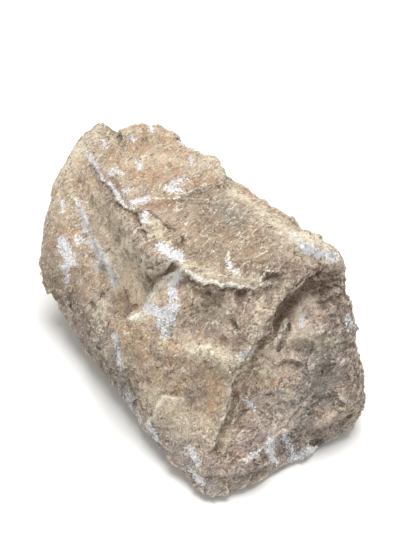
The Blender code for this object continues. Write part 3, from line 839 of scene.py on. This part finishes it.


# Weathered calcite, broken from the vein: a matt, faintly sugary skin stained tan by iron and clay.  Fresh
# edges and knocked places show the cream and white of the crystal, and the hollows are darker.
def calciteMaterial():
    material, tree, shader = newMaterial("weatheredCalcite")
    place = addNode(tree, "TexCoord")["Object"]
    hackly = addNode(tree, "Attribute", {"attribute_name": "hackly"})["Fac"]

    # Uneven patches of one size, moved aside by the shift
    def unevenness(vector, size, detail, shift=0, roughness=0.65):
        moved = addNode(tree, "Mapping", {"Location": (shift, shift * 2, shift * 3)}, {"Vector": vector})
        return addNode(tree, "TexNoise", {"Scale": 1 / (size * mm), "Detail": detail, "Roughness": roughness},
                       {"Vector": moved[0]})

    # Lays a cover's colour over the others: none where the value is at its start, all its strength at its end
    def layOver(colour, cover, value):
        amount = addNode(tree, "MapRange", {
            "From Min": cover["start"], "From Max": cover["end"], "To Max": cover["strength"]},
            {"Value": value})
        return addNode(tree, "Mix", {"data_type": "RGBA", 7: srgb(cover["colour"])},
                       {0: amount[0], 6: colour})[2]

    # Strokes follow the beds where the break is smooth, and swirl a little
    wander = unevenness(place, calcite["swirl"]["size"], calcite["swirl"]["detail"])
    centred = addNode(tree, "VectorMath", {"operation": "SUBTRACT", 1: (0.5,) * 3}, {0: wander["Color"]})
    swirled = addNode(tree, "VectorMath", {
        "operation": "MULTIPLY_ADD", 1: (calcite["swirl"]["amount"] * mm,) * 3}, {0: centred[0], 2: place})[0]
    beds = calcite["beds"]
    bedded = addNode(tree, "Mapping", {
        "vector_type": "TEXTURE", "Rotation": [radians(turn) for turn in beds["turn"]],
        "Scale": (1, beds["stretch"], 1)}, {"Vector": swirled})
    across = addNode(tree, "MapRange", {"From Min": beds["hacklyFrom"], "From Max": beds["hacklyTo"]},
                     {"Value": hackly})
    strokePlace = addNode(tree, "Mix", {"data_type": "VECTOR"}, {0: across[0], 4: bedded[0], 5: swirled})[1]
    patterns = {}
    for name, vector in (("lightStroke", strokePlace), ("darkStroke", strokePlace), ("grain", place),
                         ("crumble", swirled), ("wornRag", place)):
        pattern = calcite[name]
        patterns[name] = unevenness(vector, pattern["size"], pattern["detail"], pattern["shift"])["Fac"]

    # The break is even in places and crumbled in others, most of all where it cuts across the beds
    crumble = calcite["crumble"]
    shares = []
    for share in (calcite["bumpShare"], calcite["speckleShare"]):
        across = addNode(tree, "MapRange", {"From Max": share["hackly"], "To Min": share["smooth"]},
                         {"Value": hackly})
        broken = addNode(tree, "MapRange", {
            "From Min": crumble["start"], "From Max": crumble["end"], "To Min": share["even"],
            "To Max": share["crumbled"]}, {"Value": patterns["crumble"]})
        shares.append(addNode(tree, "Math", {"operation": "MULTIPLY"}, {0: across[0], 1: broken[0]})[0])
    bumpShare, speckleShare = shares

    # Small leaning breaks, each flat and cut off where the next begins
    heights = []
    for facet in calcite["facets"]:
        cells = addNode(tree, "TexVoronoi", {"Scale": 1 / (facet["size"] * mm)}, {"Vector": swirled})
        away = addNode(tree, "VectorMath", {"operation": "SUBTRACT"}, {0: swirled, 1: cells["Position"]})
        lean = addNode(tree, "VectorMath", {
            "operation": "MULTIPLY_ADD", 1: (facet["slope"],) * 3, 2: (-facet["slope"] / 2,) * 3},
            {0: cells["Color"]})
        rise = addNode(tree, "VectorMath", {"operation": "DOT_PRODUCT"}, {0: away[0], 1: lean[0]})
        heights.append(addNode(tree, "Math", {"operation": "MULTIPLY"}, {0: rise["Value"], 1: bumpShare})[0])

    # Clouds of stain over the ground colour
    colour = addNode(tree, "Mix", {"data_type": "RGBA", 0: 0.0, 6: srgb(calcite["ground"])})[2]
    for number, cloud in enumerate(calcite["clouds"]):
        cloudy = unevenness(swirled, cloud["size"], calcite["cloudDetail"], calcite["cloudShift"] + number,
                            calcite["cloudRoughness"])
        colour = layOver(colour, cloud, cloudy["Fac"])

    # A layer for each marking, ragged at its border
    def layMarking(colour, name, layer, number):
        mark = addNode(tree, "Attribute", {"attribute_name": name})
        detail = calcite["smallDetail"] if layer["size"] <= calcite["smallSize"] else calcite["largeDetail"]
        rag = unevenness(swirled, layer["size"], detail, calcite["layerShift"] * number)
        ragged = addNode(tree, "Math", {"operation": "MULTIPLY_ADD", 1: layer["ragged"]},
                         {0: rag["Fac"], 2: mark["Fac"]})
        border = 0.5 + layer["ragged"] / 2
        cover = dict(layer, start=border - layer["width"], end=border + layer["width"])
        return layOver(colour, cover, ragged[0])

    for number, (name, layer) in enumerate(calcite["stainsAndPaintedShade"].items()):
        colour = layMarking(colour, name, layer, number)

    # Darker in the hollows, cream where an edge is worn
    fine = addNode(tree, "Attribute", {"attribute_name": "fineRelief"})
    broad = addNode(tree, "Attribute", {"attribute_name": "broadRelief"})
    proud = addNode(tree, "Math", {"operation": "MULTIPLY_ADD", 1: calcite["broadShare"]},
                    {0: broad["Fac"], 2: fine["Fac"]})
    worn = addNode(tree, "Math", {"operation": "MULTIPLY_ADD", 1: calcite["wornRag"]["amount"]},
                   {0: patterns["wornRag"], 2: proud[0]})
    colour = layOver(colour, calcite["darkerInHollows"], proud[0])
    colour = layOver(colour, calcite["wornEdge"], worn[0])
    for number, (name, layer) in enumerate(calcite["edges"].items(), len(calcite["stainsAndPaintedShade"])):
        colour = layMarking(colour, name, layer, number)

    # Thin cream lines where a flake ends, and a few fine cracks
    for number, line in enumerate(calcite["lines"]):
        wave = unevenness(strokePlace, line["size"], calcite["lineDetail"], calcite["lineShift"] + number)
        off = addNode(tree, "Math", {"operation": "SUBTRACT", 1: 0.5}, {0: wave["Fac"]})
        off = addNode(tree, "Math", {"operation": "ABSOLUTE"}, {0: off[0]})
        thin = addNode(tree, "MapRange", {
            "From Min": line["width"], "From Max": line["width"] * calcite["lineCore"]}, {"Value": off[0]})
        patch = unevenness(place, line["patch"], calcite["patchDetail"], calcite["patchShift"] + number)
        patch = addNode(tree, "MapRange", {
            "From Min": line["start"], "From Max": line["end"], "To Max": line["strength"]},
            {"Value": patch["Fac"]})
        fewer = addNode(tree, "MapRange", {"To Min": 1, "To Max": calcite["patchHackly"]}, {"Value": hackly})
        patch = addNode(tree, "Math", {"operation": "MULTIPLY"}, {0: patch[0], 1: fewer[0]})
        shown = addNode(tree, "Math", {"operation": "MULTIPLY"}, {0: thin[0], 1: patch[0]})
        colour = addNode(tree, "Mix", {"data_type": "RGBA", 7: srgb(line["colour"])},
                         {0: shown[0], 6: colour})[2]

    # Pale strokes, then the grain and both strokes as shades of the colour
    colour = layOver(colour, calcite["paleStroke"], patterns["lightStroke"])
    for shade in calcite["shades"]:
        factor = addNode(tree, "MapRange", {
            "From Min": shade["start"], "From Max": shade["end"], "To Min": shade["low"],
            "To Max": shade["high"]}, {"Value": patterns[shade["pattern"]]})
        colour = addNode(tree, "Mix", {"data_type": "RGBA", "blend_type": "MULTIPLY"},
                         {0: speckleShare, 6: colour, 7: factor[0]})[2]
    tree.links.new(colour, shader.inputs["Base Color"])
    shader.inputs["Roughness"].default_value = calcite["roughness"]
    shader.inputs["IOR"].default_value = calcite["ior"]

    # Sugary grain, drawn coarser than the real 0.5 mm crystals so that it shows
    strokes = addNode(tree, "Math", {"operation": "SUBTRACT"},
                      {0: patterns["lightStroke"], 1: patterns["darkStroke"]})
    sugar = addNode(tree, "Math", {"operation": "ADD"}, {0: strokes[0], 1: patterns["grain"]})
    height = addNode(tree, "Math", {"operation": "MULTIPLY_ADD", 1: calcite["sugarHeight"] * mm},
                     {0: sugar[0], 2: heights[0]})
    height = addNode(tree, "Math", {"operation": "ADD"}, {0: height[0], 1: heights[1]})
    bump = addNode(tree, "Bump", {"Strength": 1, "Distance": 1}, {"Height": height[0]})
    tree.links.new(bump[0], shader.inputs["Normal"])
    return material


# Soft light from nearly overhead.  The floor's size is in metres and the angles are in degrees.
studio = {
    "floorSize": 4.0, "paper": "#e9e8e6", "paperRoughness": 0.95, "worldColour": "#ffffff",
    "worldStrength": 0.63, "keyToLight": (-0.12, 0.20, 1.0), "keyStrength": 3.2, "keyAngle": 36,
}


# Matt uncoated paper on the studio table: nearly white, with no shine
def paperMaterial():
    material, _, shader = newMaterial("studioPaper")
    shader.inputs["Base Color"].default_value = srgb(studio["paper"])
    shader.inputs["Roughness"].default_value = studio["paperRoughness"]
    return material


def addStudio():
    bm = bmesh.new()
    bmesh.ops.create_grid(bm, x_segments=1, y_segments=1, size=studio["floorSize"] / 2)
    mesh = bpy.data.meshes.new("studioFloor")
    bm.to_mesh(mesh)
    bm.free()
    mesh.materials.append(paperMaterial())
    floor = bpy.data.objects.new("studioFloor", mesh)
    bpy.context.scene.collection.objects.link(floor)
    world = bpy.data.worlds.new("studioWorld")
    world.use_nodes = True
    sky = world.node_tree.nodes["Background"]
    sky.inputs["Color"].default_value = srgb(studio["worldColour"])
    sky.inputs["Strength"].default_value = studio["worldStrength"]
    bpy.context.scene.world = world
    key = bpy.data.lights.new("keyLight", "SUN")
    key.energy = studio["keyStrength"]
    key.angle = radians(studio["keyAngle"])
    lamp = bpy.data.objects.new("keyLight", key)
    lamp.rotation_euler = (-Vector(studio["keyToLight"])).to_track_quat("-Z", "Y").to_euler()
    bpy.context.scene.collection.objects.link(lamp)
    bpy.context.scene.view_settings.view_transform = "Standard"


stone = buildStone()
markStone(stone.data)
print("markings stored")
stone.data.materials.clear()
stone.data.materials.append(calciteMaterial())
stone.data.shade_smooth()
stone.data.set_sharp_from_angle(angle=radians(stoneShape["sharpAngle"]))
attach(stone, "root")
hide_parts("calcite_stone")
addStudio()
print("material and studio made")
